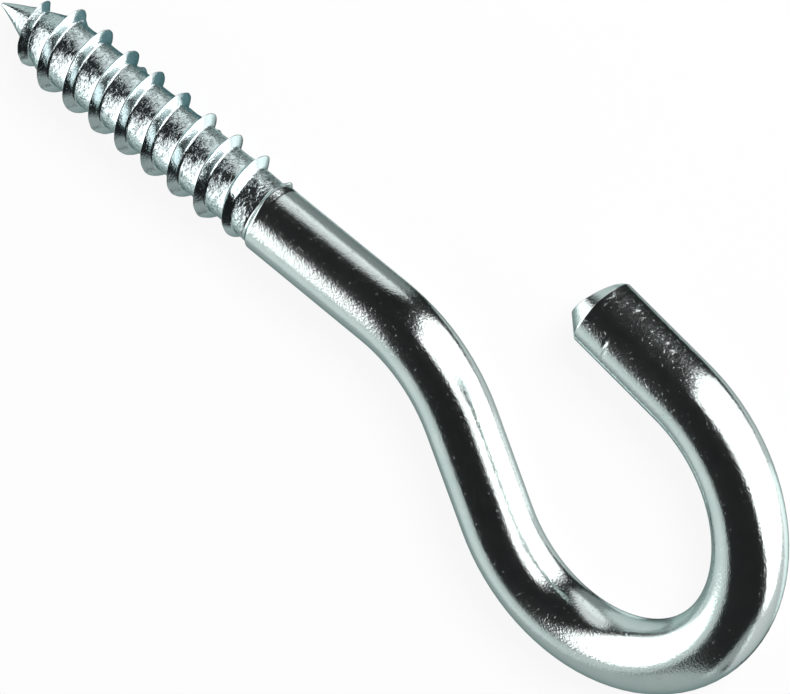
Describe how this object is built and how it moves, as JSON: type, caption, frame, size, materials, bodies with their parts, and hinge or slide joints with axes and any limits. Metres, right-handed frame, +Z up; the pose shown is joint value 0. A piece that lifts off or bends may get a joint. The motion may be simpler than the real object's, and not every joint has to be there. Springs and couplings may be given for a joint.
{
  "type": "screw hook",
  "caption": "Open round-wire screw hook: coarse wood thread with gimlet point, short plain shank, offset bend and an open bowl ending in a bevelled cut.",
  "frame": {"origin": "on the axis of the thread, at the shoulder where the thread meets the plain shank", "axes": "+X along the axis of the thread, from the gimlet point towards the bowl; +Y in the plane of the hook, towards the mouth; +Z up, square to the plane of the hook, which lies flat"},
  "size_m": [0.0827, 0.0324, 0.007],
  "materials": {
    "zinc_plated_steel": "bright zinc plating on drawn steel wire, smooth on the shank and bowl, grainy between the thread's turns"
  },
  "bodies": {
    "root": {"screw_hook": "zinc_plated_steel"}
  },
  "joints": []
}
